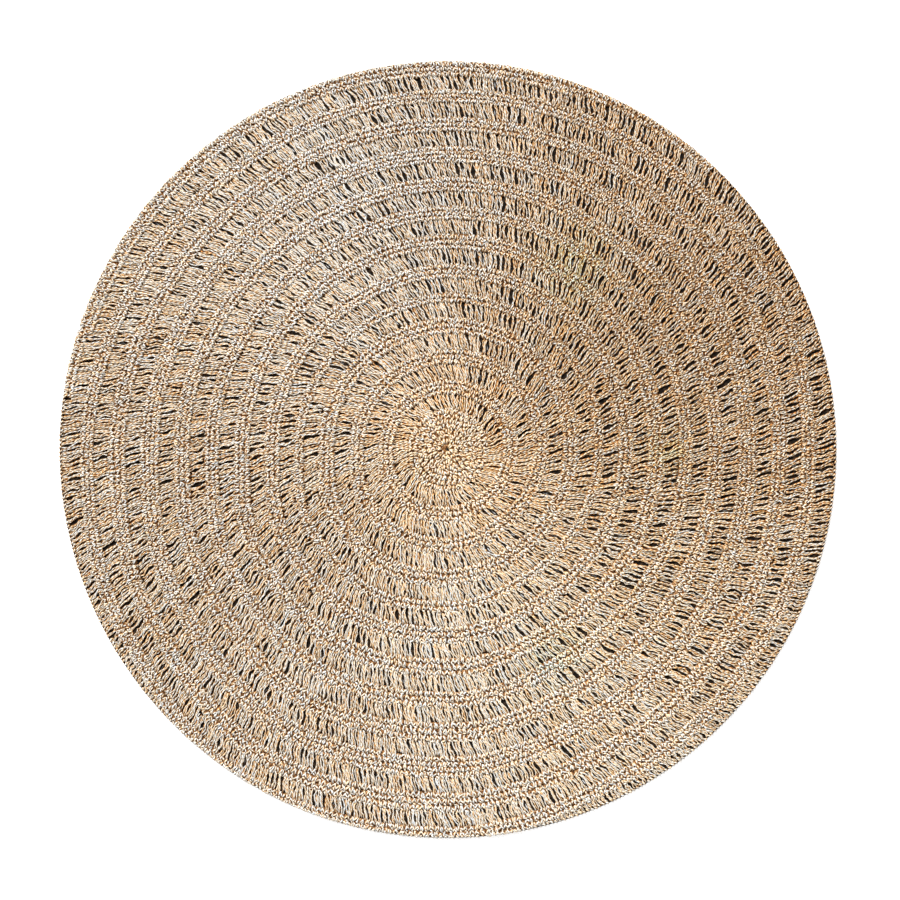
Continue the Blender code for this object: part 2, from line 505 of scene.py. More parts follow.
def tube_mesh(name, strands, sides):
    """One mesh of closed tubes. The first and last points of a path are the tips of its tube."""
    paths, widths, tones, warmths, shades = strands.gathered()
    count, points, _ = paths.shape
    along = np.gradient(paths, axis=1)
    along /= np.linalg.norm(along, axis=2, keepdims=True) + NO_LENGTH
    side = np.cross((0, 0, 1), along)
    side /= np.linalg.norm(side, axis=2, keepdims=True) + NO_LENGTH
    up = np.cross(along, side)

    # A ring of points round every inner point of a path
    rings = points - 2
    ridge = np.pi / 2 + normal(RIDGE_SPREAD, count, 1, 1)
    angle = ridge + 2 * np.pi * np.arange(sides) / sides
    across = side[:, 1:-1, None] * np.cos(angle)[..., None]
    upward = up[:, 1:-1, None] * np.sin(angle)[..., None]
    reach = widths[:, 1:-1, None, None] / 2 * (THREE_SIDED_REACH if sides == 3 else 1.0)
    ring_verts = paths[:, 1:-1, None] + reach * (across + upward)
    ring_verts[..., 2] = np.clip(ring_verts[..., 2], CAD_LOW.z, TOP)

    per_strand = rings * sides + 2
    verts = np.empty((count, per_strand, 3))
    verts[:, :-2] = ring_verts.reshape(count, -1, 3)
    verts[:, -2] = paths[:, 0]
    verts[:, -1] = paths[:, -1]

    # One strand's quads between its rings, and its fans at the two tips
    k = np.arange(sides)
    after = (k + 1) % sides
    low = np.arange(rings - 1)[:, None] * sides
    high = low + sides
    quads = np.stack([low + after, low + k, high + k, high + after], -1).reshape(-1, 4)
    first_tip = np.full(sides, rings * sides)
    last_ring = (rings - 1) * sides
    fans = np.concatenate(
        [
            np.stack([k, after, first_tip], -1),
            np.stack([last_ring + after, last_ring + k, first_tip + 1], -1),
        ]
    )

    # The cord map: turns round the strand, and metres along it from a place of its own
    quad_turn = np.broadcast_to(np.stack([k + 1, k, k, k + 1], -1), (rings - 1, sides, 4))
    quad_point = np.arange(rings - 1)[:, None, None] + np.array([1, 1, 2, 2])
    quad_point = np.broadcast_to(quad_point, (rings - 1, sides, 4))
    fan_turn = np.concatenate(
        [np.stack([k, k + 1, k + 0.5], -1), np.stack([k + 1, k, k + 0.5], -1)]
    )
    fan_point = np.repeat([[1, 1, 0], [rings, rings, rings + 1]], sides, axis=0)

    steps = np.linalg.norm(np.diff(paths, axis=1), axis=2)
    length = np.concatenate([np.zeros((count, 1)), np.cumsum(steps, axis=1)], axis=1)
    length += rng.uniform(0, 1, (count, 1))
    uv_quads = np.empty((count, len(quads), 4, 2))
    uv_quads[..., 0] = quad_turn.reshape(-1, 4) / sides
    uv_quads[..., 1] = length[:, quad_point.ravel()].reshape(count, -1, 4)
    uv_fans = np.empty((count, len(fans), 3, 2))
    uv_fans[..., 0] = fan_turn / sides
    uv_fans[..., 1] = length[:, fan_point.ravel()].reshape(count, -1, 3)

    by_point = strand_colours(paths, tones, warmths, shades)
    colour = np.empty((count, per_strand, 4))
    colour[:, :-2] = np.repeat(by_point[:, 1:-1], sides, axis=1)
    colour[:, -2] = by_point[:, 0]
    colour[:, -1] = by_point[:, -1]

    offset = np.arange(count)[:, None, None] * per_strand
    all_quads = (quads + offset).reshape(-1, 4)
    all_fans = (fans + offset).reshape(-1, 3)
    faces = (all_quads, all_fans)
    piece = mesh_piece(name, verts.reshape(-1, 3), faces, (uv_quads, uv_fans))
    attribute = piece.data.color_attributes.new("strand", "FLOAT_COLOR", "POINT")
    attribute.data.foreach_set("color", colour.ravel())
    return piece


def ring_mesh(name, rings, half_height, sides):
    """One mesh of closed rings of cord, each with its own points and half widths."""
    verts, quads, uvs = [], [], []
    first = 0
    for path, half_width in rings:
        count = len(path)
        along = np.roll(path, -1, axis=0) - np.roll(path, 1, axis=0)
        along /= np.linalg.norm(along, axis=1, keepdims=True)
        side = np.cross((0, 0, 1), along)
        angle = 2 * np.pi * (np.arange(sides) + 0.5) / sides
        across = side[:, None] * (half_width[:, None] * np.cos(angle))[..., None]
        upward = np.array((0, 0, half_height)) * np.sin(angle)[:, None]
        ring = path[:, None] + across + upward
        ring[..., 2] = np.maximum(ring[..., 2], CAD_LOW.z)
        verts.append(ring.reshape(-1, 3))

        i, k = np.meshgrid(np.arange(count), np.arange(sides), indexing="ij")
        after_i = (i + 1) % count
        after_k = (k + 1) % sides
        quad = [i * sides + after_k, i * sides + k, after_i * sides + k, after_i * sides + after_k]
        quads.append(first + np.stack(quad, -1).reshape(-1, 4))
        step = np.linalg.norm(path[1] - path[0])
        u = np.stack([k + 1, k, k, k + 1], -1) / sides
        v = np.stack([i, i, i + 1, i + 1], -1) * step
        uvs.append(np.stack([u, v], -1).reshape(-1, 4, 2))
        first += count * sides
    return mesh_piece(name, np.concatenate(verts), [np.concatenate(quads)], [np.concatenate(uvs)])


def swing(t, curve):
    """From -0.5 to 0.5 along a strand, steepest in the middle where curve is over 0."""
    return curve * (t * t * (3 - 2 * t) - 0.5) + (1 - curve) * (t - 0.5)


def polar_paths(radii, angles, heights):
    """Points from their distances to the middle, directions and heights."""
    return np.stack([radii * np.cos(angles), radii * np.sin(angles), heights], -1)


def openness(angles, radius):
    """How open a round's posts stand in each direction: the innermost rounds are closer."""
    share = np.clip((radius - OPEN_ROUNDS[0]) / INNER_REACH, 0, 1)
    return read_by_direction(angles, USUAL_GAP) * (INNER_OPENNESS + (1 - INNER_OPENNESS) * share)


def uneven_steps(count, spread):
    """The places from 0 to 1 between which a row's stitches lie, some narrow and some wide."""
    edges = np.concatenate([[0], np.cumsum(rng.uniform(1 - spread, 1 + spread, count))])
    return edges / edges[-1]


def stitch_places(gaps, radius):
    """A round's stitches, laid from each through gap to the next.

    Returns their angles, their pitches, and the width of the through gap after each, or 0.
    """
    angles, pitches, wide = [], [], []
    starts = [(gap.angle % (2 * math.pi), gap.width) for gap in gaps] or [(0.0, 0.0)]
    starts.sort()
    ends = starts[1:] + [(starts[0][0] + 2 * math.pi, starts[0][1])]
    for (start, _), (end, width) in zip(starts, ends):
        middle = np.array([0.5 * (start + end)])
        arc = (end - start) * round_radius(middle, radius)[0]
        count = max(2, round(arc / STITCH))
        edges = uneven_steps(count, POST_UNEVENNESS)
        angles.append(start + (edges[:-1] + edges[1:]) / 2 * (end - start))
        pitches.append(np.diff(edges) * arc)
        wide += [0.0] * (count - 1) + [width]
    return np.concatenate(angles), np.concatenate(pitches), np.array(wide)


class Posts:
    """The posts of one open round: where each stands, leans and ends, and the room beside it."""

    def __init__(self, radius, gaps):
        self.radius = radius
        self.angles, self.pitches, self.wide = stitch_places(gaps, radius)
        count = len(self.angles)
        self.centre = round_radius(self.angles, radius)
        self.at_edge = RADIUS - self.centre - OPEN_HALF_WIDTH < EDGE_ROOM
        self.make_room()
        cut = (self.wide > 0) | (np.roll(self.wide, 1) > 0)
        self.shift = np.where(cut, 0, normal(POST_SHIFT, count))

        self.inner = self.centre - OPEN_HALF_WIDTH - POST_OVERLAP + normal(POST_END_SPREAD, count)
        outer = self.centre + OPEN_HALF_WIDTH + POST_OVERLAP + normal(POST_END_SPREAD, count)
        outer = np.where(self.at_edge, POST_EDGE, np.minimum(outer, POST_EDGE))
        self.keep = outer - self.inner > SHORTEST_POST
        self.span = (outer - self.inner)[:, None]
        sway = slow_noise(self.angles, radius, LEAN_CHANGE)
        self.slant = self.span * np.tan(POST_LEAN + POST_LEAN_CHANGE * sway)[:, None]

    def make_room(self):
        """Halfway up, the two strands make room for the gaps, and overlap where it is too little."""
        count = len(self.angles)
        loose = 1 + LOOSENESS_CHANGE * slow_noise(self.angles, self.radius, LOOSENESS)
        usual = openness(self.angles, self.radius) * np.clip(loose, *LOOSENESS_LIMITS)
        usual = usual * np.where(self.at_edge, EDGE_OPENNESS, 1.0)
        uneven = rng.gamma(GAP_EVENNESS, 1 / GAP_EVENNESS, count)
        after = np.clip(OPEN_ROOM * usual * uneven, *GAP_LIMITS)
        after = np.where(self.wide > 0, GAP_SHARE * self.wide, after)
        before = np.roll(after, 1)
        left = -self.pitches / 2 + before / 2 + POST_STRAND / 2
        right = self.pitches / 2 - after / 2 - POST_STRAND / 2
        self.room = np.maximum(right - left, LEAST_ROOM)
        self.middle = (left + right) / 2

    def add_fronts(self, strands):
        """The two strands of every post, which cross in some of them."""
        count = len(self.angles)
        line = np.array(POST_LINE)
        t = line[:, 0]
        bulge = np.sin(np.pi * t)
        crossing = rng.random(count) < CROSSING_SHARE
        phase = POST_PHASE_CHANGE * slow_noise(self.angles, self.radius, WAVE_PHASE)
        for member in (-1, 1):
            mid = self.middle + member * self.room / 2
            quarter = self.pitches / 4
            foot = np.where(crossing, -1, 1) * member * quarter + normal(POST_FOOT_SPREAD, count)
            head = member * quarter + normal(POST_FOOT_SPREAD, count)
            curve = rng.uniform(*POST_CURVE, count)[:, None]
            ends = foot[:, None] + (head - foot)[:, None] * t
            bow = bulge**2 * (mid - (foot + head) / 2)[:, None]
            turn = t * rng.uniform(*POST_WAVES, (count, 1))
            turn = turn + (phase + normal(POST_PHASE_SPREAD, count))[:, None]
            wave = POST_WAVE * rng.uniform(*POST_WAVE_SHARE, (count, 1)) * np.sin(2 * np.pi * turn)
            kink = normal(POST_KINK, count, len(t)) * bulge
            sideways = ends + bow + self.slant * swing(t, curve) + wave + kink + self.shift[:, None]
            reach = self.inner[:, None] + self.span * t
            theta = self.angles[:, None] + sideways / reach
            above = np.where(crossing, member * CROSSING_LIFT, 0)[:, None]
            heights = line[:, 1] + (normal(POST_LIFT, count, 1) + above) * bulge
            widths = rng.uniform(*THICKNESS_SPREAD, (count, 1))
            widths = widths * (1 + normal(POST_BULGE, count, len(t))) * POST_STRAND
            widths[:, (1, -2)] *= TIP_WIDTH
            shades = np.broadcast_to(1 - POST_END_SHADE * np.abs(2 * t - 1) ** 4, (count, len(t)))
            strands.add(
                polar_paths(reach, theta, heights)[self.keep],
                widths[self.keep],
                (POST_TONE + normal(TONE_SPREAD, count))[self.keep],
                (WARMTH + normal(WARMTH_SPREAD, count))[self.keep],
                shades[self.keep],
            )

    def add_backs(self, strands):
        """The back of every stitch, and one more strand across some gaps, but never a wide one."""
        line = np.array(LOWER_LINE)
        t = line[:, 0]
        share = MOST_FILLERS - FEWER_FILLERS * openness(self.angles, self.radius)
        some = self.keep & (self.wide == 0) & (rng.random(len(self.angles)) < share)
        backs = (self.keep, self.middle + self.shift, BACK_STRAND)
        fillers = (some, self.pitches / 2, FILLER_STRAND)
        for chosen, place, (width, spread, tone, warmth) in (backs, fillers):
            number = int(chosen.sum())
            reach = self.inner[chosen][:, None] + self.span[chosen] * t
            tilt = LOWER_TILT * (t - 0.5) * rng.uniform(*LOWER_TILT_SHARE, (number, 1))
            sideways = (place[chosen] + normal(spread, number))[:, None] + tilt
            sideways = sideways + self.slant[chosen] * swing(t, LOWER_CURVE)
            theta = self.angles[chosen][:, None] + sideways / reach
            strands.add(
                polar_paths(reach, theta, np.broadcast_to(line[:, 1], theta.shape)),
                np.full(theta.shape, width),
                tone + normal(LOWER_TONE_SPREAD, number),
                warmth + normal(LOWER_WARMTH_SPREAD, number),
                np.full(theta.shape, LOWER_SHADE),
            )


def add_strokes(strands, kind, line, centre, angles, pitches, row, size, tone):
    """One strand of every stitch of a row, as a row of SHORT_STITCH says."""
    length, lean, spread, along_at, across_at, lift, own_tone = kind
    count = len(angles)
    line = np.array(line)
    t = line[:, 0]
    lean = np.radians(lean + normal(spread, count))
    stretch = np.clip(row / ROW, *STITCH_STRETCH)
    length = length * size * rng.uniform(*SHORT_LENGTH, count) * stretch
    base = centre + (across_at + normal(ACROSS_SPREAD, count)) * row
    middle = (along_at + normal(ALONG_SPREAD, count)) * pitches
    run = (t - 0.5) * length[:, None]
    bow = rng.uniform(*SHORT_BOW, count)[:, None] * np.sin(np.pi * t)
    across = base[:, None] + run * np.cos(lean)[:, None] - bow * np.sin(lean)[:, None]
    along = middle[:, None] + run * np.sin(lean)[:, None] + bow * np.cos(lean)[:, None]
    keep = (across.mean(1) < STITCH_EDGE + PAST_EDGE) & (across.min(1) > INNERMOST)
    across = np.clip(across, INNERMOST, STITCH_EDGE)
    theta = angles[:, None] + along / np.maximum(across, TURN_LIMIT)
    x = (across * np.cos(theta) - HOLE_MIDDLE[0]) / HOLE_SIZE[0]
    y = (across * np.sin(theta) - HOLE_MIDDLE[1]) / HOLE_SIZE[1]
    keep &= np.hypot(x, y).min(1) > HOLE_CLEARANCE
    heights = line[:, 1] + (lift + normal(SHORT_LIFT, count))[:, None]
    widths = SHORT_STRAND * size * rng.uniform(*THICKNESS_SPREAD, (count, 1)) * np.ones_like(t)
    widths[:, (1, -2)] *= TIP_WIDTH
    shades = np.broadcast_to(1 - SHORT_END_SHADE * np.abs(2 * t - 1) ** 3, theta.shape)
    strands.add(
        polar_paths(across, theta, heights)[keep],
        widths[keep],
        (own_tone + tone + normal(TONE_SPREAD, count))[keep],
        (WARMTH + normal(WARMTH_SPREAD, count))[keep],
        shades[keep],
    )


def add_core(cores, radius_of, row_of, mean_radius):
    """The cord that a row is worked round. Where the row has no room, the cord lies sunk."""
    points = max(FEWEST_CORE_POINTS, round(2 * math.pi * mean_radius / CORE_STEP))
    turn = 2 * np.pi * np.arange(points) / points
    row = row_of(turn)
    half_width = np.clip(row / ROW, *CORE_STRETCH) * CORE_HALF_WIDTH
    reach = np.minimum(radius_of(turn), RADIUS - CORE_EDGE_SHARE * half_width - CORE_EDGE)
    heights = np.where(row > 0, CORE_HEIGHT, SUNK_CORE) + normal(CORE_HEIGHT_SPREAD, points)
    cores.append((polar_paths(reach + normal(CORE_SPREAD, points), turn, heights), half_width))


def add_row(legs, loops, cores, radius_of, row_of, mean_radius, size=1.0, tone=0.0):
    """One dense row: its short stitches, and the core that they are worked round."""
    count = round(2 * math.pi * mean_radius / (STITCH * size))
    edges = uneven_steps(count, ROW_UNEVENNESS) * 2 * math.pi
    angles = (edges[:-1] + edges[1:]) / 2 + rng.uniform(0, 2 * math.pi)
    steps = np.diff(edges)
    centre = radius_of(angles) + normal(ROW_SPREAD, count)
    row = row_of(angles)
    keep = row > 0
    angles, centre, row = angles[keep], centre[keep], row[keep]
    pitches = centre * steps[keep]
    for kind in SHORT_STITCH:
        add_strokes(legs, kind, LEG_LINE, centre, angles, pitches, row, size, tone)
    add_strokes(loops, LOOP, LOOP_LINE, centre, angles, pitches, row, size, tone)
    add_core(cores, radius_of, row_of, mean_radius)


def add_dense_round(legs, loops, cores, inner_round, outer_round):
    """The rows between two open rounds."""
    width = outer_round - inner_round - 2 * OPEN_HALF_WIDTH
    rows = max(2, round(width / ROW))

    def edges(angle):
        low = round_radius(angle, inner_round) + OPEN_HALF_WIDTH
        return low, round_radius(angle, outer_round) - OPEN_HALF_WIDTH

    for row in range(rows):
        share = (row + 0.5) / rows

        def radius_of(angle, share=share):
            low, high = edges(angle)
            return low + (high - low) * share

        def row_of(angle):
            low, high = edges(angle)
            return (high - low) / rows

        mean = inner_round + OPEN_HALF_WIDTH + width * share
        add_row(legs, loops, cores, radius_of, row_of, mean)


def add_border(legs, loops, cores):
    """The rows along the edge, as many in each direction as the last open round leaves room for."""
    for k in range(BORDER_ROWS):
        place = BORDER_START - (k + 0.5) * ROW

        def radius_of(angle, place=place):
            return np.full_like(angle, place)

        def row_of(angle, place=place):
            low = round_radius(angle, OPEN_ROUNDS[-1]) + OPEN_HALF_WIDTH
            room = (place > low - BORDER_ROOM * ROW) & (RADIUS - low > EDGE_ROOM)
            return np.where(room, ROW, 0.0)

        add_row(legs, loops, cores, radius_of, row_of, place)


def add_centre(legs, loops, cores):
    """The dense middle, row by row from the small hole outwards."""
    last = OPEN_ROUNDS[0] - OPEN_HALF_WIDTH
    rows = round((last - CENTRE_HOLE) / ROW)
    row = (last - CENTRE_HOLE) / rows
    for k in range(rows):
        radius = CENTRE_HOLE + (k + 0.5) * row

        def radius_of(angle, radius=radius):
            return radius * (1 + (tension(angle, radius) - 1) * radius / last)

        def row_of(angle):
            return np.full_like(angle, row)

        add_row(legs, loops, cores, radius_of, row_of, radius, CENTRE_CORD / CORD, CENTRE_TONE)


def add_chain(strands):
    """The edge: a chain of strands that lean outwards to the outline."""
    count = round(2 * math.pi * CHAIN_RADIUS / CHAIN_PITCH)
    steps = np.arange(count) + rng.uniform(-CHAIN_UNEVENNESS, CHAIN_UNEVENNESS, count)
    angles = steps * 2 * math.pi / count
    t = np.array(CHAIN_LINE)
    length = CHAIN_LENGTH * rng.uniform(*CHAIN_LENGTH_SHARE, (count, 1))
    depth = CHAIN_DEPTH * rng.uniform(*CHAIN_DEPTH_SHARE, (count, 1)) * (1 - t) ** CHAIN_LEAN
    reach = CHAIN_RADIUS - CHAIN_CLEARANCE - depth
    theta = angles[:, None] + length * (t - 0.5) / CHAIN_RADIUS
    heights = CHAIN_HEIGHT + CHAIN_RISE * np.sin(np.pi * t) - CHAIN_FALL * t
    heights = heights + normal(CHAIN_LIFT, count, 1)
    widths = CORD * rng.uniform(*CHAIN_THICKNESS, (count, 1)) * np.ones_like(t)
    strands.add(
        polar_paths(reach, theta, heights),
        widths,
        CHAIN_TONE + normal(CHAIN_TONE_SPREAD, count),
        WARMTH + normal(CHAIN_WARMTH_SPREAD, count),
        np.broadcast_to(1 - CHAIN_END_SHADE * np.abs(2 * t - 1) ** 3, theta.shape),
    )


def oval(middle, slant, half_length, half_width, points):
    """The places of an oval's points, counter-clockwise."""
    places = []
    for k in range(points):
        turn = 2 * math.pi * k / points
        along = half_length * math.cos(turn)
        across = half_width * math.sin(turn)
        x = middle[0] + along * slant[0] - across * slant[1]
        y = middle[1] + along * slant[1] + across * slant[0]
        places.append((x, y))
    return places


def sheet_piece(gaps):
    """The backs of the stitches: a thin disc with the solid's gaps and the centre hole in it."""
    outline = oval((0, 0), (1, 0), RADIUS - SHEET_INSET, RADIUS - SHEET_INSET, SHEET_POINTS)
    loops = [outline, oval(HOLE_MIDDLE, (0, 1), HOLE_SIZE[1], HOLE_SIZE[0], HOLE_POINTS)]
    for gap in gaps:
        half_length = HOLE_LENGTH_SHARE * gap.length
        half_width = HOLE_WIDTH_SHARE * gap.width
        loops.append(oval(gap.middle, gap.slant, half_length, half_width, HOLE_POINTS))
    bm = bmesh.new()
    edges = {0.0: [], SHEET_THICKNESS: []}
    for loop in loops:
        rows = []
        for height in edges:
            verts = [bm.verts.new((x, y, height)) for x, y in loop]
            for a, b in zip(verts, verts[1:] + verts[:1]):
                edges[height].append(bm.edges.new((a, b)))
            rows.append(verts)
        low, high = rows
        for k in range(len(loop)):
            after = (k + 1) % len(loop)
            bm.faces.new((low[k], low[after], high[after], high[k]))
    for height, side in edges.items():
        facing = (0, 0, 1 if height else -1)
        bmesh.ops.triangle_fill(bm, use_beauty=True, edges=side, normal=facing)
    bmesh.ops.recalc_face_normals(bm, faces=bm.faces)
    mesh = bpy.data.meshes.new("rug_painted_shade_backs")
    bm.to_mesh(mesh)
    bm.free()
    piece = bpy.data.objects.new("rug_painted_shade_backs", mesh)
    bpy.context.collection.objects.link(piece)
    return piece


# Where a mix node has its colours
COLOUR_A = 6
COLOUR_B = 7
MIXED_COLOUR = 2


class Shading:
    """A material's node tree, with short ways to add to it."""

    def __init__(self, name):
        self.material = bpy.data.materials.new(name)
        self.material.use_nodes = True
        self.tree = self.material.node_tree
        self.shader = self.tree.nodes["Principled BSDF"]

    def node(self, kind, **settings):
        node = self.tree.nodes.new(kind)
        for key, value in settings.items():
            setattr(node, key, value)
        return node

    def feed(self, socket, value):
        """Links a node's output to a socket, or sets the socket to a number or a colour."""
        if isinstance(value, (int, float)):
            socket.default_value = value
        elif isinstance(value, tuple):
            socket.default_value = (*value, 1) if len(socket.default_value) == 4 else value
        else:
            self.tree.links.new(value, socket)

    def axes(self, vector):
        node = self.node("ShaderNodeSeparateXYZ")
        self.feed(node.inputs[0], vector)
        return node.outputs

    def math(self, operation, a, b=0.0, clamp=False):
        node = self.node("ShaderNodeMath", operation=operation, use_clamp=clamp)
        self.feed(node.inputs[0], a)
        self.feed(node.inputs[1], b)
        return node.outputs[0]

    def add(self, a, b):
        return self.math("ADD", a, b)

    def times(self, a, b):
        return self.math("MULTIPLY", a, b)

    def total(self, *parts):
        """The sum of some values, each times its own weight."""
        first, *others = [self.times(value, weight) for value, weight in parts]
        for part in others:
            first = self.add(first, part)
        return first

    def spread(self, value, low, high, to_low=0.0, to_high=1.0):
        """The value moved from one range to another, and held inside it."""
        node = self.node("ShaderNodeMapRange", clamp=True)
        for socket, given in zip(node.inputs, (value, low, high, to_low, to_high)):
            self.feed(socket, given)
        return node.outputs[0]

    def mix(self, factor, a, b, blend="MIX"):
        node = self.node("ShaderNodeMix", data_type="RGBA", blend_type=blend)
        self.feed(node.inputs[0], factor)
        self.feed(node.inputs[COLOUR_A], a)
        self.feed(node.inputs[COLOUR_B], b)
        return node.outputs[MIXED_COLOUR]

    def ramp(self, value, stops):
        node = self.node("ShaderNodeValToRGB")
        elements = node.color_ramp.elements
        while len(elements) > 1:
            elements.remove(elements[-1])
        elements[0].position = stops[0][0]
        elements[0].color = (*stops[0][1], 1)
        for position, colour in stops[1:]:
            elements.new(position).color = (*colour, 1)
        self.feed(node.inputs[0], value)
        return node.outputs[0]

    def noise(self, vector, scale, detail=2.0):
        node = self.node("ShaderNodeTexNoise")
        node.inputs["Scale"].default_value = scale
        node.inputs["Detail"].default_value = detail
        self.feed(node.inputs["Vector"], vector)
        return node.outputs[0]

    def stretched(self, vector, scale):
        """The cord map, scaled round a strand and along it."""
        node = self.node("ShaderNodeMapping")
        node.inputs["Scale"].default_value = scale
        self.feed(node.inputs[0], vector)
        return node.outputs[0]

    def bump(self, height, distance):
        node = self.node("ShaderNodeBump")
        node.inputs["Distance"].default_value = distance
        self.feed(node.inputs["Height"], height)
        self.feed(self.shader.inputs["Normal"], node.outputs[0])


# Seagrass from the painted shade down a strand's sides to the painted highlight on its crest
GRASS_TONE_AND_PAINTED_LIGHT_RAMP = (
    (0.00, (0.062, 0.019, 0.005)),
    (0.20, (0.280, 0.100, 0.024)),
    (0.40, (0.550, 0.290, 0.098)),
    (0.58, (0.750, 0.570, 0.345)),
    (0.76, (0.870, 0.800, 0.665)),
    (1.00, (0.955, 0.945, 0.905)),
)
COOL_TINT = (0.80, 0.97, 1.28)
WARM_TINT = (1.24, 0.89, 0.43)
GREEN_TINT = (0.86, 1.00, 0.62)
NO_TINT = (1.0, 1.0, 1.0)
TWIST_PITCH = 0.0118

# How fine the fibres, blotches and hues of a strand are, round it and along it
FIBRES = (26.0, 190.0, 1.0)
BLOTCHES = (1.0, 90.0, 1.0)
HUES = (2.4, 210.0, 1.0)

# What a strand's place on the ramp is made of
PAINTED_CREST_LIGHT_WEIGHT = 0.46
TONE_WEIGHT = 0.36
FIBRE_WEIGHT = 0.18
BLOTCH_WEIGHT = 0.96
PLY_WEIGHT = 0.56
LEVEL_START = -0.72

# The part of a strand's upward side that gets the painted highlight of its crest, how dark the
# painted shade is, how strong the hues are, and where the warmth starts to tint and the tints fade
PAINTED_CREST_LIGHT_RANGE = (0.36, 1.0)
SHADE_RANGE = (0.35, 1.0)
HUE_STRENGTH = 2.5
COOL_RANGE = (0.36, -0.24)
WARM_RANGE = (0.5, 1.0)
FADE_RANGES = (0.35, 1.0, 1.0, 0.45)

# The usual range of a noise, and the roughness over it
NOISE_RANGE = (0.3, 0.7)
STRAND_ROUGHNESS = (0.48, 0.74)
STRAND_BUMP = 0.0007
FIBRE_BUMP = 0.35


def strand_material():
    """Two-ply seagrass with fine fibres, cream to rust: painted highlight on crests, painted shade
    on sides.
    """
    s = Shading("seagrass_strands")
    strand = s.node("ShaderNodeAttribute", attribute_name="strand")
    split = s.node("ShaderNodeSeparateColor")
    s.feed(split.inputs[0], strand.outputs["Color"])
    tone, warmth, shade = split.outputs[0], split.outputs[1], split.outputs[2]
    green = strand.outputs["Alpha"]

    # Painted highlight and shade: the more a face turns up, the lighter it is painted
    facing = s.axes(s.node("ShaderNodeTexCoord").outputs["Normal"])
    painted_crest_light = s.spread(facing[2], *PAINTED_CREST_LIGHT_RANGE)

    cord = s.node("ShaderNodeUVMap", uv_map="cord").outputs[0]
    around, along, _ = s.axes(cord)
    turn = s.total((around, 2.0), (along, 1 / TWIST_PITCH))
    ply = s.math("ABSOLUTE", s.math("SINE", s.times(turn, math.pi)))
    fibre = s.noise(s.stretched(cord, FIBRES), 1.0, 3.0)
    blotch = s.noise(s.stretched(cord, BLOTCHES), 1.0, 2.0)
    hue = s.noise(s.stretched(cord, HUES), 1.0, 1.0)

    level = s.total(
        (painted_crest_light, PAINTED_CREST_LIGHT_WEIGHT),
        (tone, TONE_WEIGHT),
        (fibre, FIBRE_WEIGHT),
        (blotch, BLOTCH_WEIGHT),
        (ply, PLY_WEIGHT),
    )
    level = s.add(level, LEVEL_START)
    level = s.math("MULTIPLY", level, s.spread(shade, 0, 1, *SHADE_RANGE), clamp=True)
    colour = s.ramp(level, GRASS_TONE_AND_PAINTED_LIGHT_RAMP)
    warmth = s.add(warmth, s.times(s.add(hue, -0.5), HUE_STRENGTH))
    cool = s.mix(s.spread(warmth, *COOL_RANGE), NO_TINT, COOL_TINT)
    warm = s.mix(s.spread(warmth, *WARM_RANGE), NO_TINT, WARM_TINT)
    leaf = s.mix(green, NO_TINT, GREEN_TINT)
    tinting = s.spread(level, *FADE_RANGES)
    for tint in (cool, warm, leaf):
        colour = s.mix(tinting, colour, tint, "MULTIPLY")
    s.feed(s.shader.inputs["Base Color"], colour)
    s.feed(s.shader.inputs["Roughness"], s.spread(fibre, *NOISE_RANGE, *STRAND_ROUGHNESS))
    s.shader.inputs["Specular IOR Level"].default_value = 0.25
    s.shader.inputs["Sheen Weight"].default_value = 0.05
    s.bump(s.total((ply, 1.0), (fibre, FIBRE_BUMP)), STRAND_BUMP)
    return s.material


# The cords that the short stitches are worked round, rust and tan darkened as painted shade, and
# the backs of the stitches, near black as painted shade
CORE_RUST_AND_SHADE_RAMP = (
    (0.00, (0.020, 0.009, 0.004)),
    (0.30, (0.160, 0.058, 0.015)),
    (0.55, (0.430, 0.210, 0.075)),
    (1.00, (0.700, 0.540, 0.350)),
)
PAINTED_SHADE_RAMP = (
    (0.00, (0.004, 0.003, 0.002)),
    (0.50, (0.010, 0.007, 0.005)),
    (0.75, (0.034, 0.021, 0.012)),
    (1.00, (0.080, 0.052, 0.032)),
)
CORE_STREAKS = (9.0, 160.0, 1.0)
CORE_GRAIN = (30.0, 500.0, 1.0)
STREAK_WEIGHT = 2.4
CORE_GRAIN_WEIGHT = 0.8
CORE_LEVEL_START = 0.38
CORE_ROUGHNESS = (0.6, 0.85)
CORE_BUMP = 0.0012

# The backs of the stitches: slanted stitches in a turn, how much they turn from row to row, and
# the weights of the ribs between the rows, the slanted stitches and the grain
BACK_STITCHES = 180.0
BACK_TURN = 2.2
BACK_GRAIN = 420.0
RIB_WEIGHT = 0.35
SLANT_WEIGHT = 0.18
BACK_GRAIN_WEIGHT = 0.6
BACK_ROUGHNESS = (0.7, 0.95)
BACK_BUMP = 0.0015


def core_rust_and_shade_material():
    """Rust and tan strands too deep to be told apart, darkened as painted shade."""
    s = Shading("stitch_cores_rust_and_shade")
    cord = s.node("ShaderNodeUVMap", uv_map="cord").outputs[0]
    streak = s.add(s.noise(s.stretched(cord, CORE_STREAKS), 1.0, 2.0), -0.5)
    grain = s.noise(s.stretched(cord, CORE_GRAIN), 1.0, 2.0)
    level = s.total((streak, STREAK_WEIGHT), (s.add(grain, -0.5), CORE_GRAIN_WEIGHT))
    level = s.add(level, CORE_LEVEL_START)
    # Rust and tan, darkened as painted shade
    s.feed(s.shader.inputs["Base Color"], s.ramp(level, CORE_RUST_AND_SHADE_RAMP))
    s.shader.inputs["Specular IOR Level"].default_value = 0.15
    s.feed(s.shader.inputs["Roughness"], s.spread(grain, *NOISE_RANGE, *CORE_ROUGHNESS))
    s.bump(level, CORE_BUMP)
    return s.material


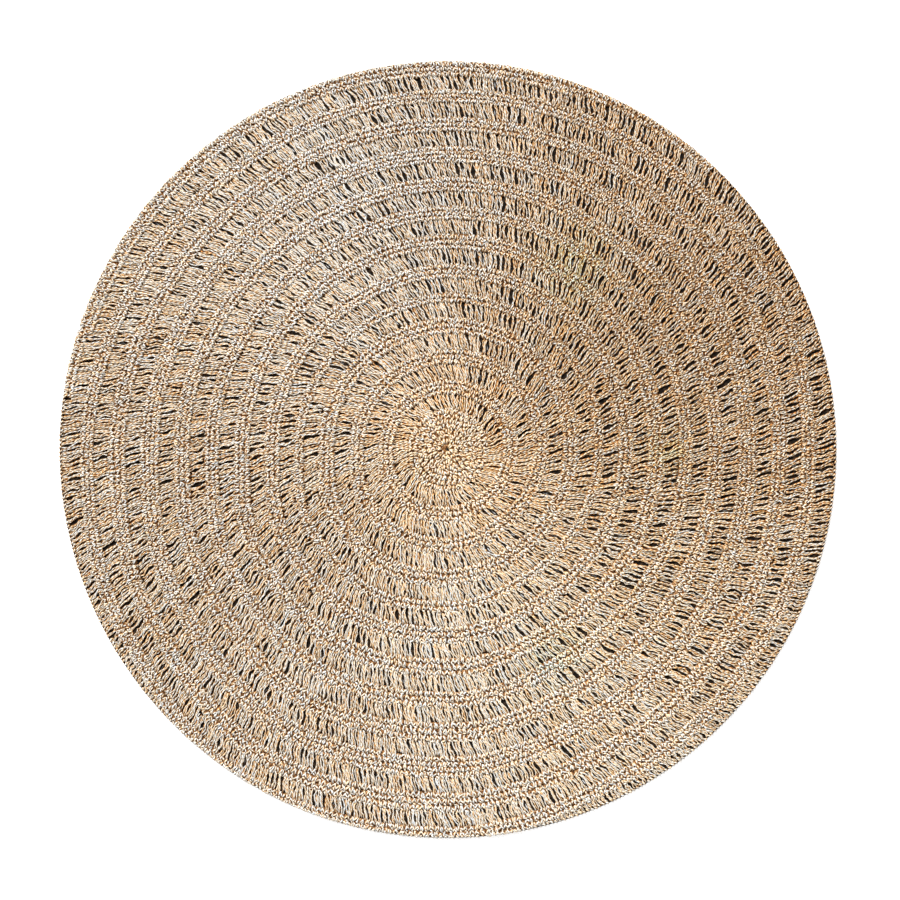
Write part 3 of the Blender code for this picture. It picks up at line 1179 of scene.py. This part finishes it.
def painted_shade_backs_material():
    """The backs of the stitches, near black to dark brown as painted shade, ribbed by the rounds of
    cord.
    """
    s = Shading("painted_shade_backs")
    place = s.node("ShaderNodeTexCoord").outputs["Object"]
    x, y, _ = s.axes(place)
    reach = s.math("SQRT", s.add(s.math("POWER", x, 2.0), s.math("POWER", y, 2.0)))
    turn = s.math("ARCTAN2", y, x)
    row = s.times(reach, 1 / ROW)
    slant = s.math("SINE", s.total((turn, BACK_STITCHES), (row, BACK_TURN)))
    rib = s.math("ABSOLUTE", s.math("SINE", s.times(row, math.pi)))
    grain = s.noise(place, BACK_GRAIN, 3.0)
    level = s.total((rib, RIB_WEIGHT), (slant, SLANT_WEIGHT), (grain, BACK_GRAIN_WEIGHT))
    s.feed(s.shader.inputs["Base Color"], s.ramp(level, PAINTED_SHADE_RAMP))
    s.shader.inputs["Specular IOR Level"].default_value = 0.15
    s.feed(s.shader.inputs["Roughness"], s.spread(grain, *NOISE_RANGE, *BACK_ROUGHNESS))
    s.bump(level, BACK_BUMP)
    return s.material


def floor_material():
    """Smooth pale paint with a barely visible grain, glowing all round the rug: painted light over
    its shadow.
    """
    s = Shading("pale_floor")
    place = s.node("ShaderNodeTexCoord").outputs["Object"]
    reach = s.node("ShaderNodeVectorMath", operation="LENGTH")
    s.feed(reach.inputs[0], place)
    glow = s.spread(reach.outputs["Value"], *GLOW_STARTS, 0.0, FLOOR_GLOW)
    grain = s.noise(place, FLOOR_GRAIN, 3.0)
    paint = s.ramp(grain, FLOOR_RAMP)
    s.feed(s.shader.inputs["Base Color"], paint)
    s.feed(s.shader.inputs["Roughness"], s.spread(grain, 0.0, 1.0, *FLOOR_ROUGHNESS))
    s.feed(s.shader.inputs["Emission Color"], paint)
    s.feed(s.shader.inputs["Emission Strength"], glow)
    return s.material


def build_floor():
    h = FLOOR_HALF_SIZE
    corners = [(-h, -h, 0), (h, -h, 0), (h, h, 0), (-h, h, 0)]
    mesh = bpy.data.meshes.new("floor")
    mesh.from_pydata(corners, [], [(0, 1, 2, 3)])
    mesh.materials.append(floor_material())
    floor = bpy.data.objects.new("floor", mesh)
    floor.location.z = FLOOR_HEIGHT
    bpy.context.collection.objects.link(floor)


def build_camera():
    camera = bpy.data.objects.new("camera", bpy.data.cameras.new("camera"))
    bpy.context.collection.objects.link(camera)
    camera.location = (*CAMERA_OFFSET, CAMERA_HEIGHT)
    camera.data.lens = camera.data.sensor_width * CAMERA_HEIGHT / VIEW_WIDTH
    bpy.context.scene.camera = camera


def build_light():
    light = bpy.data.lights.new("key", "SUN")
    light.energy = SUN_STRENGTH
    light.angle = SUN_ANGLE
    lamp = bpy.data.objects.new("key", light)
    lamp.rotation_euler = (0, math.pi / 2 - SUN_ELEVATION, SUN_DIRECTION)
    bpy.context.collection.objects.link(lamp)
    world = bpy.data.worlds.new("studio")
    bpy.context.scene.world = world
    world.use_nodes = True
    background = world.node_tree.nodes["Background"]
    background.inputs[0].default_value = (1, 1, 1, 1)
    background.inputs[1].default_value = SKY_STRENGTH


def nearest_round(gap):
    """The open round that a gap of the solid lies in."""
    angle = np.array([gap.angle])
    return min(OPEN_ROUNDS, key=lambda radius: abs(round_radius(angle, radius)[0] - gap.radius))


def build_strands(gaps):
    """Every piece made of strands."""
    gaps_in = {radius: [] for radius in OPEN_ROUNDS}
    for gap in gaps:
        gaps_in[nearest_round(gap)].append(gap)

    pieces = []
    lower = Strands()
    for first, last in ROUNDS_IN_A_PIECE:
        posts = Strands()
        for radius in OPEN_ROUNDS[first:last]:
            round_posts = Posts(radius, gaps_in[radius])
            round_posts.add_fronts(posts)
            round_posts.add_backs(lower)
        pieces.append(tube_mesh(f"rug_posts_{first + 1}_to_{last}", posts, 3))
    pieces.append(tube_mesh("rug_strands_behind", lower, 3))

    loops = Strands()
    cores = []
    for first, last in ROUNDS_IN_A_PIECE:
        legs = Strands()
        if first == 0:
            add_centre(legs, loops, cores)
        for k in range(first, min(last, len(OPEN_ROUNDS) - 1)):
            add_dense_round(legs, loops, cores, OPEN_ROUNDS[k], OPEN_ROUNDS[k + 1])
        if last == len(OPEN_ROUNDS):
            add_border(legs, loops, cores)
        pieces.append(tube_mesh(f"rug_legs_{first + 1}_to_{last}", legs, 3))
    pieces.append(tube_mesh("rug_loops", loops, 3))
    pieces.append(ring_mesh("rug_cores", cores, CORE_HALF_HEIGHT, 4))

    chain = Strands()
    add_chain(chain)
    pieces.append(tube_mesh("rug_edge_chain", chain, 4))
    return pieces


def main():
    bpy.context.scene.view_settings.view_transform = "Standard"
    build_camera()
    build_light()
    build_floor()

    gaps = gaps_of_solid()
    pieces = build_strands(gaps)
    seagrass = strand_material()
    for piece in pieces:
        is_core = piece.name == "rug_cores"
        piece.data.materials.append(core_rust_and_shade_material() if is_core else seagrass)
        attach(piece, "root")

    # The sheet under the strands: near black, painted shade that shows through the gaps
    backs = sheet_piece(gaps)
    backs.data.materials.append(painted_shade_backs_material())
    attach(backs, "root")
    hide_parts("rug")


main()
